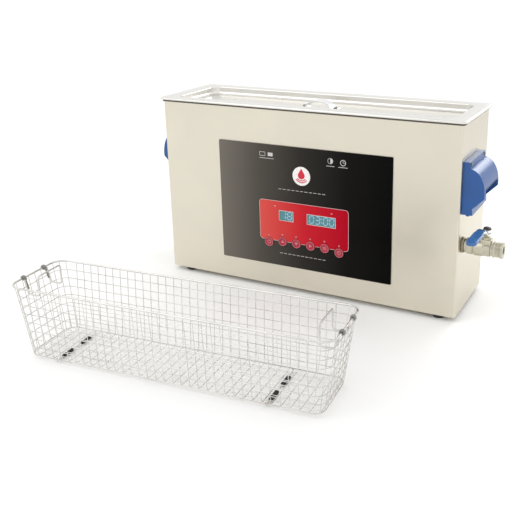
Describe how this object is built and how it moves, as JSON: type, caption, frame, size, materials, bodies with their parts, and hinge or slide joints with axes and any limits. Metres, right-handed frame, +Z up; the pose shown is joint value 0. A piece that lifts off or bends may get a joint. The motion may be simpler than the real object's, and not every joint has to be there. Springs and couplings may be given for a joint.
{
  "type": "ultrasonic cleaner",
  "caption": "Benchtop ultrasonic cleaner: long narrow steel tank, lift-off lid, front control panel, carry handles, side drain valve, and a wire basket with swing-out handles.",
  "frame": {"origin": "middle of the footprint of the cleaner and its basket, on the bench", "axes": "+X along the tank towards the drain valve, +Y from the front to the back, +Z up"},
  "size_m": [0.6274, 0.5306, 0.3206],
  "materials": {
    "housing_steel": "satin, fine brushing",
    "bright_steel": "bright, pressed sheet",
    "basket_wire": "electropolished wire",
    "screw_steel": "darkened",
    "nickel": "satin nickel plate",
    "aluminium": "machined",
    "black_panel": "high gloss",
    "red_panel": "gloss",
    "red_key": "gloss",
    "display": "backlit",
    "blue_plastic": "semi gloss, moulded",
    "lever_blue": "dipped vinyl",
    "nut_black": "satin",
    "black_plastic": "satin",
    "board": "solder mask",
    "silicone": "matte",
    "rubber": "matte"
  },
  "bodies": {
    "cleaner": {"housing_wrap": "housing_steel", "rear_cover": "housing_steel", "bottom_plate": "housing_steel", "foot_front_left": "rubber", "foot_front_right": "rubber", "foot_rear_left": "rubber", "foot_rear_right": "rubber", "tank": "bright_steel", "flange_seal": "rubber", "transducer_1": "aluminium", "transducer_2": "aluminium", "transducer_3": "aluminium", "transducer_4": "aluminium", "heater_pad": "silicone", "temperature_sensor": "aluminium", "front_panel": "black_panel", "control_faceplate": "red_panel", "temperature_display": "display", "timer_display": "display", "control_board": "board", "generator_board": "board", "fan_frame": "black_plastic", "power_inlet": "black_plastic", "switch_bezel": "black_plastic", "carry_handle_right": "blue_plastic", "carry_handle_left": "blue_plastic", "drain_elbow": "nickel", "wall_flange": "nickel", "valve_body": "nickel", "outlet_spigot": "nickel"},
    "lid": {"lid": "bright_steel", "lid_handle": "bright_steel", "lid_screw_left": "screw_steel", "lid_screw_right": "screw_steel"},
    "drain_valve": {"valve_ball": "bright_steel", "valve_stem": "nickel", "valve_lever": "lever_blue", "lever_nut": "nut_black"},
    "fan_rotor": {"fan_rotor": "black_plastic"},
    "power_rocker": {"switch_rocker": "black_plastic"},
    "button_1": {"button_1": "red_key"},
    "button_2": {"button_2": "red_key"},
    "button_3": {"button_3": "red_key"},
    "button_4": {"button_4": "red_key"},
    "button_5": {"button_5": "red_key"},
    "button_6": {"button_6": "red_key"},
    "basket": {"basket_rim": "basket_wire", "basket_mesh_front": "basket_wire", "basket_mesh_back": "basket_wire", "basket_mesh_left": "basket_wire", "basket_mesh_right": "basket_wire", "basket_mesh_floor": "basket_wire", "cross_wire_left": "basket_wire", "cross_wire_right": "basket_wire", "sleeve_left_front": "rubber", "sleeve_left_back": "rubber", "sleeve_right_front": "rubber", "sleeve_right_back": "rubber"},
    "basket_handle_left": {"basket_handle_left": "basket_wire"},
    "basket_handle_right": {"basket_handle_right": "basket_wire"}
  },
  "joints": [
    {"name": "lid_lift", "type": "slide", "parent": "cleaner", "child": "lid", "axis": [0, 0, 1], "range_m": [0, 0.2]},
    {"name": "drain_valve_turn", "type": "hinge", "parent": "cleaner", "child": "drain_valve", "pos_m": [0.28725, 0.13327, 0.145], "axis": [0, 0, 1], "range_deg": [0, 90]},
    {"name": "fan_spin", "type": "hinge", "parent": "cleaner", "child": "fan_rotor", "pos_m": [-0.16475, 0.24927, 0.095], "axis": [0, 1, 0], "continuous": true},
    {"name": "power_switch_rock", "type": "hinge", "parent": "cleaner", "child": "power_rocker", "pos_m": [0.13525, 0.25627, 0.06], "axis": [1, 0, 0], "range_deg": [-14, 0]},
    {"name": "button_1_press", "type": "slide", "parent": "cleaner", "child": "button_1", "axis": [0, 1, 0], "range_m": [0, 0.0005], "stiffness_N_per_m": 1500},
    {"name": "button_2_press", "type": "slide", "parent": "cleaner", "child": "button_2", "axis": [0, 1, 0], "range_m": [0, 0.0005], "stiffness_N_per_m": 1500},
    {"name": "button_3_press", "type": "slide", "parent": "cleaner", "child": "button_3", "axis": [0, 1, 0], "range_m": [0, 0.0005], "stiffness_N_per_m": 1500},
    {"name": "button_4_press", "type": "slide", "parent": "cleaner", "child": "button_4", "axis": [0, 1, 0], "range_m": [0, 0.0005], "stiffness_N_per_m": 1500},
    {"name": "button_5_press", "type": "slide", "parent": "cleaner", "child": "button_5", "axis": [0, 1, 0], "range_m": [0, 0.0005], "stiffness_N_per_m": 1500},
    {"name": "button_6_press", "type": "slide", "parent": "cleaner", "child": "button_6", "axis": [0, 1, 0], "range_m": [0, 0.0005], "stiffness_N_per_m": 1500},
    {"name": "basket_lift", "type": "slide", "parent": "cleaner", "child": "basket", "axis": [0, 0, 1], "range_m": [0, 0.2]},
    {"name": "basket_handle_right_swing", "type": "hinge", "parent": "basket", "child": "basket_handle_right", "pos_m": [0.1909, -0.17043, 0.1115], "axis": [-0.0837, 0.9965, 0], "range_deg": [0, 180]},
    {"name": "basket_handle_left_swing", "type": "hinge", "parent": "basket", "child": "basket_handle_left", "pos_m": [-0.2924, -0.21102, 0.1115], "axis": [0.0837, -0.9965, 0], "range_deg": [0, 180]}
  ]
}
